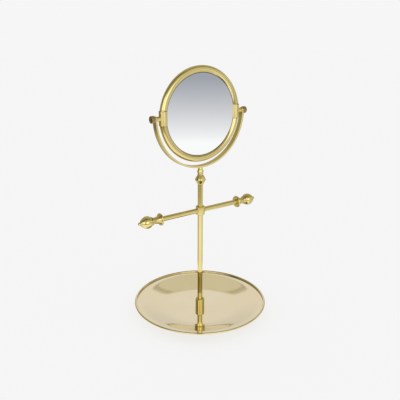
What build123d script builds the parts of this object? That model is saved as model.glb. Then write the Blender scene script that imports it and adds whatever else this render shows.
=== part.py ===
from build123d import *

import os
from math import cos, radians, sin, sqrt, tan

# Free-standing brass vanity stand: a dished tray carries a post, the post carries a jewellery
# crossbar, and a yoke on top holds a round two-sided mirror that flips over on two clamped pivots.
# Millimetres and degrees. +Z is up, the crossbar lies along X and the plain glass faces -Y.
# The origin is the centre of the foot pad on the surface that the stand rests on.

# ---- Foot pad and tray ----
pad_radius = 78.0
pad_thickness = 3.5
pad_hole_radius = 13.0
tray_outer_radius = 177.5
tray_sheet = 1.2
tray_flat_radius = 82.0
tray_bowl_radius = 100.0
tray_flange_slope = 15.5
tray_lip_radius = 65.0
rim_bead_radius = 3.0

# ---- Tubes, tie rods and base hardware ----
post_tube_radius = 6.7
bar_tube_radius = 6.4
tube_wall = 1.2
post_rod_radius = 3.0
bar_rod_radius = 2.5
base_washer_radius = 9.0
base_washer_thickness = 0.8
base_nut_flats = 10.0
base_nut_height = 2.4
rod_end_recess = 0.4

# ---- Base collar and cross hub ----
collar_radius = 12.0
collar_height = 24.0
collar_chamfer = 1.4
collar_socket_depth = 18.0
hub_radius = 11.5
hub_height = 22.4
hub_chamfer = 0.8
hub_post_socket_depth = 4.6
hub_bar_socket_start = 7.4
hub_thread_depth = 4.0

# ---- Visible tube lengths ----
lower_post_length = 244.6
upper_post_length = 59.3
bar_arm_length = 108.0

# ---- Finials at the crossbar's ends ----
finial_flange_radius = 15.6
finial_flange_bead = 2.3
finial_neck_radius = 8.2
finial_neck_length = 20.5
finial_ring_radius = 10.9
finial_ring_bead = 1.5
finial_groove_radius = 8.6
finial_bulb_radius = 15.5
finial_shoulder_radius = 12.6
finial_taper_radius = 7.2
finial_bulb_length = 32.4
finial_tip_radius = 4.1
finial_spigot_length = 12.0
finial_thread_depth = 20.0

# ---- Turned baluster under the yoke ----
baluster_foot_radius = 7.2
baluster_cone_height = 12.0
baluster_lip_radius = 14.0
baluster_lip_round = 0.7
baluster_bell_height = 11.3
baluster_shoulder_radius = 8.1
baluster_groove_radius = 6.7
baluster_ring_radius = 7.2
baluster_ring_height = 6.4
baluster_bead_radius = 8.0
baluster_neck_height = 14.7
baluster_neck_radius = 4.8
baluster_spigot_length = 8.0

# ---- Yoke and its swivel screw ----
yoke_thickness = 4.8
yoke_width = 14.5
yoke_edge_round = 0.7
swivel_washer_thickness = 0.6
swivel_screw_radius = 2.5
swivel_head_radius = 5.0
swivel_thread_depth = 16.0

# ---- Mirror frame and glass ----
frame_tube_radius = 8.54
frame_tube_wall = 1.2
glass_visible_radius = 101.6
glass_rebate = 3.0
glass_thickness = 3.0
glass_spacer_thickness = 2.4
glass_spacer_width = 6.0
front_glass_setback = 3.4
rear_glass_dish = 2.2

# ---- Pivot sleeves, studs, spacers and clamp knobs ----
sleeve_radius = 10.4
sleeve_length = 35.0
sleeve_inset = 1.1
sleeve_web = 11.0
sleeve_chamfer = 0.5
stud_radius = 3.0
spacer_radius = 5.7
spacer_length = 9.2
knob_radius = 8.9
knob_length = 9.2
knob_end_wall = 2.4
knob_edge_round = 1.2
knob_flutes = 28
knob_flute_radius = 0.8
knob_flute_depth = 0.35

# ---- Clearances ----
fit_clearance = 0.1
running_clearance = 0.06
turning_gap = 0.3
glass_slot_clearance = 0.1

# ---- Mirror and yoke sizes that follow from the sizes above ----
# The ring's centre line lies where its tube just reaches the edge of the visible glass.
frame_ring_radius = glass_visible_radius + sqrt(frame_tube_radius**2 - front_glass_setback**2)
glass_radius = glass_visible_radius + glass_rebate
glass_pack = 2 * glass_thickness + glass_spacer_thickness
front_glass_y = -front_glass_setback
rear_glass_y = front_glass_y + glass_pack
sleeve_x = frame_ring_radius - sleeve_inset
spacer_end_x = sleeve_x + sleeve_radius + spacer_length
yoke_inner_radius = spacer_end_x + turning_gap
yoke_outer_radius = yoke_inner_radius + yoke_thickness

# Both faces of the magnifying glass lie on spheres of this radius, one glass thickness apart.
dish_radius = (glass_radius**2 + rear_glass_dish**2) / (2 * rear_glass_dish)
dish_centre_y = rear_glass_y - rear_glass_dish + dish_radius

# ---- Heights and the crossbar's reach that follow from the sizes above ----
floor_z = pad_thickness + tray_sheet
collar_top_z = floor_z + collar_height
hub_bottom_z = collar_top_z + lower_post_length
hub_z = hub_bottom_z + hub_height / 2
hub_top_z = hub_bottom_z + hub_height
baluster_z = hub_top_z + upper_post_length
baluster_bell_z = baluster_z + baluster_cone_height + baluster_bell_height
baluster_top_z = baluster_bell_z + baluster_ring_height + baluster_neck_height
yoke_bottom_z = baluster_top_z + swivel_washer_thickness
pivot_z = yoke_bottom_z + yoke_outer_radius
bar_end_x = hub_radius + bar_arm_length


def turned(outline):
    """Solid turned about the Z axis from a closed outline of (radius, height) edges."""
    return revolve(Plane.XZ * make_face(outline), Axis.Z)


def rod(radius, bottom, top):
    """Plain round bar on the Z axis between two heights."""
    return Pos(0, 0, bottom) * Cylinder(radius, top - bottom, align=(Align.CENTER, Align.CENTER, Align.MIN))


def tube(radius, wall, bottom, top):
    """Round tube on the Z axis between two heights."""
    return rod(radius, bottom, top) - rod(radius - wall, bottom, top)


def toward(side, shape):
    """Turn a shape that points along +Z so that it points along +X (side 1) or -X (side -1)."""
    return Rot(0, 90 * side, 0) * shape


def at_pivot(shape):
    """Lift a shape from the origin to the centre of the mirror."""
    return Pos(0, 0, pivot_z) * shape


def make_tray():
    """Spun dish: flat floor, bowl radius, straight flange, lip that levels out and a bead standing on it."""
    slope = radians(tray_flange_slope)
    bead_r = tray_outer_radius - rim_bead_radius
    bowl_r = tray_flat_radius + tray_bowl_radius * sin(slope)
    bowl_z = floor_z + tray_bowl_radius * (1 - cos(slope))
    lip_r = bead_r - tray_lip_radius * sin(slope)
    lip_z = bowl_z + (lip_r - bowl_r) * tan(slope)
    lip_top_z = lip_z + tray_lip_radius * (1 - cos(slope))
    # The bead's lowest point is the sheet's lower face, and the crease is where the lip's arc meets it.
    bead_bottom_z = lip_top_z - tray_sheet
    bead_z = bead_bottom_z + rim_bead_radius
    bowl_centre = (tray_flat_radius, floor_z + tray_bowl_radius)
    lip_centre = (bead_r, lip_top_z - tray_lip_radius)
    centres_apart = bead_z - lip_centre[1]
    crease_h = (centres_apart**2 + tray_lip_radius**2 - rim_bead_radius**2) / (2 * centres_apart)
    crease = (bead_r - sqrt(tray_lip_radius**2 - crease_h**2), lip_centre[1] + crease_h)

    def on_arc(centre, radius, angle, sign):
        return (centre[0] + radius * sin(angle) * sign, centre[1] - radius * cos(angle) * sign)

    def surface(drop):
        """Edges of the sheet's upper face, or of its lower face when drop is the sheet's thickness."""
        bowl = [on_arc(bowl_centre, tray_bowl_radius + drop, slope * share, 1) for share in (0, 0.5, 1)]
        lip = [on_arc(lip_centre, tray_lip_radius - drop, slope * share, -1) for share in (1, 0.5, 0)]
        return bowl, lip

    top_bowl, top_lip = surface(0)
    low_bowl, low_lip = surface(tray_sheet)
    hole_r = post_rod_radius + fit_clearance
    outline = (
        Line((hole_r, floor_z), top_bowl[0])
        + ThreePointArc(*top_bowl)
        + Line(top_bowl[2], top_lip[0])
        + ThreePointArc(top_lip[0], top_lip[1], crease)
        + ThreePointArc(crease, (tray_outer_radius, bead_z), (bead_r, bead_bottom_z))
        + ThreePointArc(*reversed(low_lip))
        + Line(low_lip[0], low_bowl[2])
        + ThreePointArc(*reversed(low_bowl))
        + Line(low_bowl[0], (hole_r, floor_z - tray_sheet))
        + Line((hole_r, floor_z - tray_sheet), (hole_r, floor_z))
    )
    return turned(outline)


def make_foot_pad():
    """Felt ring under the flat of the tray, open in the middle for the nut."""
    return tube(pad_radius, pad_radius - pad_hole_radius, 0, pad_thickness)


def make_base_washer():
    """Washer between the tray and its nut."""
    top = pad_thickness
    bore = post_rod_radius + fit_clearance
    return tube(base_washer_radius, base_washer_radius - bore, top - base_washer_thickness, top)


def make_base_nut():
    """Thin hexagon nut that pulls the tray, collar, post and hub together."""
    top = pad_thickness - base_washer_thickness
    hexagon = RegularPolygon(base_nut_flats / 2, 6, major_radius=False)
    body = Pos(0, 0, top - base_nut_height) * extrude(hexagon, base_nut_height)
    return body - rod(post_rod_radius, top - base_nut_height, top)


def make_base_collar():
    """Plain collar at the foot of the post, with a socket for the tube and a clearance hole below it."""
    body = rod(collar_radius, floor_z, collar_top_z)
    body = chamfer(body.edges().sort_by(Axis.Z)[-1], collar_chamfer)
    socket_z = collar_top_z - collar_socket_depth
    body -= rod(post_tube_radius, socket_z, collar_top_z)
    return body - rod(post_rod_radius + fit_clearance, floor_z, socket_z)


def make_lower_post_tube():
    """Tube from the collar's socket up into the hub."""
    bottom = collar_top_z - collar_socket_depth
    return tube(post_tube_radius, tube_wall, bottom, hub_bottom_z + hub_post_socket_depth)


def make_lower_tie_rod():
    """Threaded rod from the nut under the tray up into the hub."""
    return rod(post_rod_radius, rod_end_recess, hub_bottom_z + hub_post_socket_depth + hub_thread_depth)


def make_cross_hub():
    """Short upright cylinder with sockets for two post tubes and two crossbar tubes."""
    body = rod(hub_radius, hub_bottom_z, hub_top_z)
    body = chamfer(body.edges().filter_by(GeomType.CIRCLE), hub_chamfer)
    for bottom in (hub_bottom_z, hub_top_z - hub_post_socket_depth):
        body -= rod(post_tube_radius, bottom, bottom + hub_post_socket_depth)
    low_thread = hub_bottom_z + hub_post_socket_depth
    high_thread = hub_top_z - hub_post_socket_depth
    body -= rod(post_rod_radius, low_thread, low_thread + hub_thread_depth)
    body -= rod(post_rod_radius, high_thread - hub_thread_depth, high_thread)
    for side in (-1, 1):
        socket = rod(bar_tube_radius, hub_bar_socket_start, hub_radius + 1)
        thread = rod(bar_rod_radius, hub_bar_socket_start - hub_thread_depth, hub_bar_socket_start)
        body -= Pos(0, 0, hub_z) * toward(side, socket + thread)
    return body


def make_bar_tube(side):
    """Crossbar tube from the hub's socket to the back of the finial's flange."""
    return Pos(0, 0, hub_z) * toward(side, tube(bar_tube_radius, tube_wall, hub_bar_socket_start, bar_end_x))


def make_bar_rod(side):
    """Threaded rod inside the crossbar tube, from the hub into the finial."""
    start = hub_bar_socket_start - hub_thread_depth
    return Pos(0, 0, hub_z) * toward(side, rod(bar_rod_radius, start, bar_end_x + finial_thread_depth))


def make_finial(side):
    """Turned finial: flange bead, waisted neck, thin ring, bulb that tapers to a ball tip, and spigot."""
    flange_h = 2 * finial_flange_bead
    cove_r = (finial_flange_radius + finial_neck_radius) / 2
    ring_h = flange_h + finial_neck_length
    bulb_h = ring_h + 2 * finial_ring_bead
    rise_h, peak_h, fall_h, shoulder_h, taper_h = (
        bulb_h + finial_bulb_length * share for share in (0.14, 0.367, 0.52, 0.667, 0.873)
    )
    tip_h = bulb_h + finial_bulb_length
    waist_h = flange_h + finial_neck_length * 0.58
    rise_r = finial_groove_radius + (finial_bulb_radius - finial_groove_radius) * 0.72
    fall_r = finial_shoulder_radius + (finial_bulb_radius - finial_shoulder_radius) * 0.76
    flare_r = finial_ring_radius - finial_ring_bead
    spigot_r = bar_tube_radius - tube_wall - fit_clearance
    flange_edge_r = finial_flange_radius - finial_flange_bead
    outline = (
        Line((0, -finial_spigot_length), (spigot_r, -finial_spigot_length))
        + Line((spigot_r, -finial_spigot_length), (spigot_r, 0))
        + Line((spigot_r, 0), (flange_edge_r, 0))
        + ThreePointArc((flange_edge_r, 0), (finial_flange_radius, finial_flange_bead), (flange_edge_r, flange_h))
        + Line((flange_edge_r, flange_h), (cove_r, flange_h))
        + Spline(
            (cove_r, flange_h),
            (finial_neck_radius, waist_h),
            (flare_r, ring_h),
            tangents=[(-0.5, 1), (0.7, 1)],
        )
        + ThreePointArc((flare_r, ring_h), (finial_ring_radius, ring_h + finial_ring_bead), (flare_r, bulb_h))
        + Line((flare_r, bulb_h), (finial_groove_radius, bulb_h))
        + Spline(
            (finial_groove_radius, bulb_h),
            (rise_r, rise_h),
            (finial_bulb_radius, peak_h),
            (fall_r, fall_h),
            (finial_shoulder_radius, shoulder_h),
            (finial_taper_radius, taper_h),
            (finial_tip_radius, tip_h),
            tangents=[(1, 0.45), (0, 1)],
        )
        + ThreePointArc(
            (finial_tip_radius, tip_h),
            (finial_tip_radius * cos(radians(45)), tip_h + finial_tip_radius * sin(radians(45))),
            (0, tip_h + finial_tip_radius),
        )
        + Line((0, tip_h + finial_tip_radius), (0, -finial_spigot_length))
    )
    body = turned(outline) - rod(bar_rod_radius, -finial_spigot_length, finial_thread_depth)
    return Pos(side * bar_end_x, 0, hub_z) * toward(side, body)


def make_upper_post_tube():
    """Tube from the hub up to the baluster."""
    return tube(post_tube_radius, tube_wall, hub_top_z - hub_post_socket_depth, baluster_z)


def make_upper_tie_rod():
    """Threaded rod inside the upper tube, from the hub into the baluster."""
    start = hub_top_z - hub_post_socket_depth - hub_thread_depth
    return rod(post_rod_radius, start, baluster_z + baluster_cone_height)


def make_baluster():
    """Turned baluster: cone up to a sharp lip, bell, small ring and a pear-shaped bead below the yoke."""
    lip_h = baluster_cone_height
    bell_h = lip_h + baluster_bell_height
    ring_h = bell_h + baluster_ring_height
    top_h = ring_h + baluster_neck_height
    ring_mid_h = bell_h + baluster_ring_height / 2
    lip_edge_r = baluster_lip_radius - baluster_lip_round * 0.6
    bead_h = ring_h + baluster_neck_height * 0.34
    spigot_r = post_tube_radius - tube_wall - fit_clearance
    outline = (
        Line((0, -baluster_spigot_length), (spigot_r, -baluster_spigot_length))
        + Line((spigot_r, -baluster_spigot_length), (spigot_r, 0))
        + Line((spigot_r, 0), (baluster_foot_radius, 0))
        + Spline(
            (baluster_foot_radius, 0),
            (lip_edge_r, lip_h - baluster_lip_round),
            tangents=[(0.35, 1), (0.62, 1)],
        )
        + ThreePointArc(
            (lip_edge_r, lip_h - baluster_lip_round),
            (baluster_lip_radius, lip_h),
            (lip_edge_r, lip_h + baluster_lip_round),
        )
        + Spline(
            (lip_edge_r, lip_h + baluster_lip_round),
            (baluster_shoulder_radius, bell_h),
            tangents=[(-0.4, 1), (-0.65, 1)],
        )
        + Line((baluster_shoulder_radius, bell_h), (baluster_groove_radius, bell_h))
        + ThreePointArc(
            (baluster_groove_radius, bell_h),
            (baluster_ring_radius, ring_mid_h),
            (baluster_groove_radius, ring_h),
        )
        + Spline(
            (baluster_groove_radius, ring_h),
            (baluster_bead_radius, bead_h),
            (baluster_neck_radius, top_h),
            tangents=[(1, 0.6), (-0.1, 1)],
        )
        + Line((baluster_neck_radius, top_h), (0, top_h))
        + Line((0, top_h), (0, -baluster_spigot_length))
    )
    body = turned(outline)
    body -= rod(post_rod_radius, -baluster_spigot_length, baluster_cone_height)
    body -= rod(swivel_screw_radius, top_h - swivel_thread_depth, top_h)
    return Pos(0, 0, baluster_z) * body


def make_swivel_washer():
    """Thin friction washer between the baluster and the yoke."""
    bore = swivel_screw_radius + fit_clearance
    return tube(baluster_neck_radius, baluster_neck_radius - bore, baluster_top_z, yoke_bottom_z)


def make_swivel_screw():
    """Countersunk screw through the yoke into the baluster, flush with the yoke's inner face."""
    head_top = yoke_bottom_z + yoke_thickness - running_clearance
    head_h = swivel_head_radius - swivel_screw_radius
    head = Pos(0, 0, head_top - head_h) * Cone(
        swivel_screw_radius, swivel_head_radius, head_h, align=(Align.CENTER, Align.CENTER, Align.MIN)
    )
    slot = Pos(0, 0, head_top) * Box(2 * swivel_head_radius, 1.0, 1.2)
    return rod(swivel_screw_radius, baluster_top_z - swivel_thread_depth, head_top - head_h) + head - slot


def make_yoke():
    """Half hoop of flat bar with rounded ends, drilled for both pivots and countersunk for its screw."""
    hoop = Circle(yoke_outer_radius) - Circle(yoke_inner_radius)
    hoop &= Pos(0, -yoke_outer_radius) * Rectangle(3 * yoke_outer_radius, 2 * yoke_outer_radius)
    end_h = yoke_width / 2
    for side in (-1, 1):
        end_x = side * (yoke_outer_radius - yoke_thickness / 2)
        hoop += Pos(end_x, end_h / 2) * Rectangle(yoke_thickness, end_h)
    body = extrude(Plane.XZ * hoop, yoke_width / 2, both=True)
    keep = Pos(0, -yoke_outer_radius) * Rectangle(yoke_width, 2 * yoke_outer_radius) + Circle(yoke_width / 2)
    body &= extrude(Plane.YZ * keep, 2 * yoke_outer_radius, both=True)
    long_edges = body.edges().filter_by(GeomType.CIRCLE).filter_by(lambda edge: edge.length > yoke_outer_radius)
    body = fillet(long_edges, yoke_edge_round)
    hole = rod(stud_radius + running_clearance, -2 * yoke_outer_radius, 2 * yoke_outer_radius)
    body = at_pivot(body - toward(1, hole))
    bore = swivel_screw_radius + running_clearance
    sink_r = swivel_head_radius + running_clearance
    sink_top = yoke_bottom_z + yoke_thickness
    sink = Pos(0, 0, sink_top - (sink_r - bore)) * Cone(
        bore, sink_r, sink_r - bore, align=(Align.CENTER, Align.CENTER, Align.MIN)
    )
    return body - sink - rod(bore, yoke_bottom_z - 1, sink_top)


def frame_section():
    """C-shaped section of the ring tube, open towards the glass."""
    slot_low = front_glass_y - glass_slot_clearance
    slot_high = rear_glass_y + glass_slot_clearance
    slot = Rectangle(2 * frame_tube_radius, slot_high - slot_low)
    slot = Pos(-frame_tube_radius, (slot_low + slot_high) / 2) * slot
    return Circle(frame_tube_radius) - Circle(frame_tube_radius - frame_tube_wall) - slot


def swept_ring(section):
    """Ring about the mirror's front-to-back axis from a section of (outward, backward) sizes."""
    return Rot(-90, 0, 0) * revolve(Plane.XZ * (Pos(frame_ring_radius, 0) * section), Axis.Z)


def half_space(side):
    """Block above (side 1) or below (side -1) the web in the middle of the pivot sleeves."""
    size = 4 * frame_ring_radius
    return Pos(0, 0, side * (size + sleeve_web) / 2) * Box(size, size, size)


def make_frame_half(side):
    """Upper (side 1) or lower (side -1) half of the mirror's ring."""
    return at_pivot(swept_ring(frame_section()) & half_space(side))


def disc(radius, front, back):
    """Round disc about the mirror's front-to-back axis between two depths."""
    return Rot(-90, 0, 0) * rod(radius, front, back)


def make_front_glass():
    """Plain glass."""
    return at_pivot(disc(glass_radius, front_glass_y, front_glass_y + glass_thickness))


def dish_ball(forward):
    """Ball whose surface is the hollow face of the magnifying glass, moved forward by a distance."""
    return Pos(0, dish_centre_y - forward, 0) * Sphere(dish_radius)


def make_glass_spacer():
    """Ring that holds the two glasses apart at their edges, dished where the magnifying glass lies on it."""
    low = front_glass_y + glass_thickness
    high = low + glass_spacer_thickness
    ring = disc(glass_radius, low, high) - disc(glass_radius - glass_spacer_width, low, high)
    return at_pivot(ring - dish_ball(glass_thickness))


def make_rear_glass():
    """Magnifying glass, dished so that its hollow face looks backwards."""
    blank = disc(glass_radius, rear_glass_y - glass_thickness - rear_glass_dish, rear_glass_y)
    return at_pivot((blank & dish_ball(glass_thickness)) - dish_ball(0))


def make_sleeve(side):
    """Straight sleeve over the joint of the two half rings, solid in the middle where its stud is screwed in."""
    body = rod(sleeve_radius, -sleeve_length / 2, sleeve_length / 2)
    body = chamfer(body.edges().filter_by(GeomType.CIRCLE), sleeve_chamfer)
    body = Pos(side * sleeve_x, 0, 0) * body
    ring = swept_ring(Circle(frame_tube_radius))
    for half in (-1, 1):
        body -= ring & half_space(half)
    slot_r = glass_radius + glass_slot_clearance
    body -= disc(slot_r, front_glass_y - glass_slot_clearance, rear_glass_y + glass_slot_clearance)
    body -= toward(side, stud_bar())
    return at_pivot(body)


def stud_bar():
    """Pivot stud along +Z, from beside the glass edge out into the knob."""
    return rod(stud_radius, glass_radius + turning_gap, yoke_outer_radius + knob_length - knob_end_wall)


def make_pivot_stud(side):
    """Stud screwed into a sleeve; the yoke's end turns on it and the knob clamps it."""
    return at_pivot(toward(side, stud_bar()))


def make_pivot_spacer(side):
    """Round spacer on the stud, coped to the sleeve, that keeps the ring clear of the yoke."""
    body = tube(spacer_radius, spacer_radius - stud_radius, sleeve_x, spacer_end_x)
    body = toward(side, body)
    return at_pivot(body - Pos(side * sleeve_x, 0, 0) * rod(sleeve_radius, -sleeve_length, sleeve_length))


def make_knob(side):
    """Fluted clamp knob with a blind threaded hole, outside the yoke's end."""
    start = yoke_outer_radius + turning_gap
    end = yoke_outer_radius + knob_length
    body = rod(knob_radius, start, end)
    body = fillet(body.edges().sort_by(Axis.Z)[-1], knob_edge_round)
    body = chamfer(body.edges().sort_by(Axis.Z)[0], knob_flute_depth)
    flute_x = knob_radius + knob_flute_radius - knob_flute_depth
    flute = Pos(flute_x, 0, 0) * rod(knob_flute_radius, start, end)
    body -= [Rot(0, 0, 360 * index / knob_flutes) * flute for index in range(knob_flutes)]
    body -= rod(stud_radius + running_clearance, start, end - knob_end_wall + running_clearance)
    return at_pivot(toward(side, body))


def main():
    """Build every piece and write it as its own STEP file."""
    pieces = {
        "foot_pad": make_foot_pad(),
        "tray": make_tray(),
        "base_washer": make_base_washer(),
        "base_nut": make_base_nut(),
        "base_collar": make_base_collar(),
        "lower_post_tube": make_lower_post_tube(),
        "lower_tie_rod": make_lower_tie_rod(),
        "cross_hub": make_cross_hub(),
        "left_crossbar_tube": make_bar_tube(-1),
        "right_crossbar_tube": make_bar_tube(1),
        "left_crossbar_rod": make_bar_rod(-1),
        "right_crossbar_rod": make_bar_rod(1),
        "left_finial": make_finial(-1),
        "right_finial": make_finial(1),
        "upper_post_tube": make_upper_post_tube(),
        "upper_tie_rod": make_upper_tie_rod(),
        "baluster": make_baluster(),
        "swivel_washer": make_swivel_washer(),
        "swivel_screw": make_swivel_screw(),
        "yoke": make_yoke(),
        "upper_frame_half": make_frame_half(1),
        "lower_frame_half": make_frame_half(-1),
        "front_glass": make_front_glass(),
        "glass_spacer": make_glass_spacer(),
        "rear_magnifying_glass": make_rear_glass(),
        "left_sleeve": make_sleeve(-1),
        "right_sleeve": make_sleeve(1),
        "left_pivot_stud": make_pivot_stud(-1),
        "right_pivot_stud": make_pivot_stud(1),
        "left_pivot_spacer": make_pivot_spacer(-1),
        "right_pivot_spacer": make_pivot_spacer(1),
        "left_knob": make_knob(-1),
        "right_knob": make_knob(1),
    }
    os.makedirs("parts", exist_ok=True)
    for name, shape in pieces.items():
        export_step(shape, f"parts/{name}.step")
        print(f"{name}: {shape.volume:.1f} mm3")


main()
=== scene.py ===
"""Looks of a brass vanity stand: dished tray, post, jewellery crossbar and a tilting round mirror.

Sizes in the classes are millimetres in the row frame, and meshes are metres. +Z is up, the crossbar
lies along X and the plain glass faces -Y.
"""

from __future__ import annotations

import logging
import math
from collections.abc import Callable, Mapping, Sequence
from dataclasses import dataclass
from enum import Enum
from typing import Any

import bmesh
import bpy
import numpy as np
from mathutils import Matrix

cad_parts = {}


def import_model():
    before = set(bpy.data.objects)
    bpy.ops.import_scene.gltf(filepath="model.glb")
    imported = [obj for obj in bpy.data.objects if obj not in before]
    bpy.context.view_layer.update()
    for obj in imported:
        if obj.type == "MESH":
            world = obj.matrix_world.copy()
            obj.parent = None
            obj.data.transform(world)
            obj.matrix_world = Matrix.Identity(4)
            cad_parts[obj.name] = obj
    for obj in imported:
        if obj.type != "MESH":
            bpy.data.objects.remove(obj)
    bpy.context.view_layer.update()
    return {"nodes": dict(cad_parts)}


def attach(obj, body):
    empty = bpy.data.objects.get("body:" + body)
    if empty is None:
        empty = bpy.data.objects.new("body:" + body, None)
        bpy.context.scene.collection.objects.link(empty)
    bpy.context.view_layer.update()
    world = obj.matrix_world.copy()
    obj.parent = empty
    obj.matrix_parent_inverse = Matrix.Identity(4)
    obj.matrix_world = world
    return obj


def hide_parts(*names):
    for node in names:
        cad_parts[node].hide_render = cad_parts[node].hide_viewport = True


log = logging.getLogger("vanity_stand")

MM = 0.001
TAU = 2 * math.pi
PIVOT_Z = 533.034
YOKE_RADIUS = 133.034
YOKE_THICKNESS = 4.8
POST_TOP = 355.0
TUBE_WALL = 1.2
STRAIGHT_TURN = math.radians(9)
SHARP_TURN = math.radians(38)
# Width and strength of the painted shade beside joints where parts meet.
JOINT_SHADE_WIDTH = 0.9
JOINT_SHADE_DEPTH = 1.6
WHITE = (1.0, 1.0, 1.0)
Colour = tuple[float, float, float]
Place = tuple[float, float, float]
Profile = np.ndarray


# ---------- Outlines and surfaces ----------


class Axis(Enum):
    """Direction in which a turned piece's own height runs, as rows of a turning matrix."""

    UP = ((1, 0, 0), (0, 1, 0), (0, 0, 1))
    RIGHT = ((0, 0, 1), (1, 0, 0), (0, 1, 0))
    LEFT = ((0, 0, -1), (-1, 0, 0), (0, 1, 0))
    BACK = ((0, 1, 0), (0, 0, 1), (1, 0, 0))


SIDES = (("left", Axis.LEFT, -1), ("right", Axis.RIGHT, 1))


def paired(first: Any, second: Any) -> Profile:
    """Rows of two values, either of which may be one number for all rows."""
    return np.stack(np.broadcast_arrays(first, second), axis=-1)


def run_length(points: np.ndarray) -> np.ndarray:
    """Length along an outline from its first point to each of its points."""
    return np.r_[0, np.cumsum(np.linalg.norm(np.diff(points, axis=0), axis=1))]


def clamped_curve(points: Sequence[tuple[float, float]], start: tuple[float, float],
                  end: tuple[float, float], per_span: int = 12) -> Profile:
    """Smooth line through points with set directions at both ends.

    The line is a cubic spline over chord length: its slopes solve the tridiagonal system that makes
    curvature continuous, and each span is the cubic through its two points with their slopes.

    Args:
        points: Points that the line passes through.
        start: Direction at the first point.
        end: Direction at the last point.
        per_span: Steps in each span.

    Returns:
        Points of the line, the given ones included.
    """
    p = np.asarray(points, float)
    span = np.linalg.norm(np.diff(p, axis=0), axis=1)
    count = len(p)
    system = np.eye(count)
    wanted = np.zeros_like(p)
    wanted[0] = np.asarray(start, float) / np.hypot(*start)
    wanted[-1] = np.asarray(end, float) / np.hypot(*end)
    inner = np.arange(1, count - 1)
    system[inner, inner - 1] = 1 / span[:-1]
    system[inner, inner] = 2 / span[:-1] + 2 / span[1:]
    system[inner, inner + 1] = 1 / span[1:]
    rise = np.diff(p, axis=0) / span[:, None] ** 2
    wanted[1:-1] = 3 * (rise[:-1] + rise[1:])
    slope = np.linalg.solve(system, wanted)
    q = np.linspace(0, 1, per_span, endpoint=False)[None, :, None]
    low, high = p[:-1, None], p[1:, None]
    low_slope = slope[:-1, None] * span[:, None, None]
    high_slope = slope[1:, None] * span[:, None, None]
    line = ((2 * q**3 - 3 * q**2 + 1) * low + (q**3 - 2 * q**2 + q) * low_slope
            + (3 * q**2 - 2 * q**3) * high + (q**3 - q**2) * high_slope)
    return np.vstack([line.reshape(-1, 2), p[-1:]])


def arc(centre: tuple[float, float], radius: float, start: float, end: float, count: int = 12) -> Profile:
    """Points on a circle from one angle to another, in degrees."""
    angle = np.radians(np.linspace(start, end, count))
    return paired(centre[0] + radius * np.cos(angle), centre[1] + radius * np.sin(angle))


def softened(points: Profile, round_by: float) -> Profile:
    """Take the sharpness off an outline's corners.

    Each point becomes a short parabola that leaves the two neighbouring runs at a distance of
    round_by, or of 0.4 of the run where that is shorter. A bend of less than 9 degrees stays as it is.

    Args:
        points: Open outline.
        round_by: Distance from a corner at which its rounding starts.

    Returns:
        The outline with its corners rounded.
    """
    step = np.diff(points, axis=0)
    length = np.maximum(np.linalg.norm(step, axis=1, keepdims=True), 1e-9)
    unit = step / length
    reach = np.minimum(round_by, 0.4 * np.minimum(length[:-1], length[1:]))
    corner = points[1:-1]
    before, after = corner - unit[:-1] * reach, corner + unit[1:] * reach
    q = np.linspace(0, 1, 5)[None, :, None]
    bend = (1 - q) ** 2 * before[:, None] + 2 * q * (1 - q) * corner[:, None] + q**2 * after[:, None]
    straight = (np.sum(unit[:-1] * unit[1:], axis=1) > math.cos(STRAIGHT_TURN))[:, None, None]
    bend = np.where(straight, corner[:, None], bend)
    line = np.vstack([points[:1], bend.reshape(-1, 2), points[-1:]])
    keep = np.r_[True, np.linalg.norm(np.diff(line, axis=0), axis=1) > 1e-5]
    return line[keep]


def spaced(points: Profile, longest: float) -> Profile:
    """Split runs of an outline so that none is longer than a length, and keep every given point.

    Args:
        points: Open outline.
        longest: Greatest length of a run.

    Returns:
        The outline with its added points.
    """
    run = run_length(points)
    ticks = np.linspace(0, run[-1], max(2, int(run[-1] / longest) + 1))
    at = np.unique(np.round(np.r_[run, ticks], 5))
    at = at[np.r_[True, np.diff(at) > 1e-4]]
    return paired(np.interp(at, run, points[:, 0]), np.interp(at, run, points[:, 1]))


def closed_turning(points: Sequence[tuple[float, float]], soft: float, longest: float = 2.0) -> Profile:
    """Outline with softened corners and short runs, from bare corner points."""
    return spaced(softened(np.asarray(points, float), soft), longest)


def hollow(points: Profile, reach: float = 2.5) -> np.ndarray:
    """How deep each point lies in a hollow of the outline, from 0 to 1; it sets painted shade in grooves.

    It is the distance by which the outline's radius falls below its own mean over a length of
    reach on both sides, divided by a fifth of that length and held between 0 and 1.

    Args:
        points: Outline of (radius, height) rows.
        reach: Length of the mean, in millimetres.

    Returns:
        Depth of each point in its groove.
    """
    run = run_length(points)
    near = np.exp(-0.5 * ((run[:, None] - run[None, :]) / reach) ** 2)
    weight = np.gradient(run)
    mean = (near * weight) @ points[:, 0] / (near @ weight)
    return np.clip((mean - points[:, 0]) / (0.2 * reach), 0, 1)


def marked(points: Profile, heights: Sequence[float]) -> Profile:
    """Add a point to an outline wherever one of its runs crosses one of the heights.

    Args:
        points: Outline of (radius, height) rows.
        heights: Heights at which points are wanted.

    Returns:
        The outline with its added points.
    """
    for height in heights:
        low, high = points[:-1, 1] - height, points[1:, 1] - height
        rows = np.nonzero(low * high < 0)[0]
        share = (low[rows] / (low[rows] - high[rows]))[:, None]
        points = np.insert(points, rows + 1, points[rows] * (1 - share) + points[rows + 1] * share, axis=0)
    return points


def joint_shade_depth(distance: np.ndarray) -> np.ndarray:
    """Depth of the painted shade beside a joint line: a bell curve of the distance in millimetres."""
    return JOINT_SHADE_DEPTH * np.exp(-((distance / JOINT_SHADE_WIDTH) ** 2))


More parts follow.
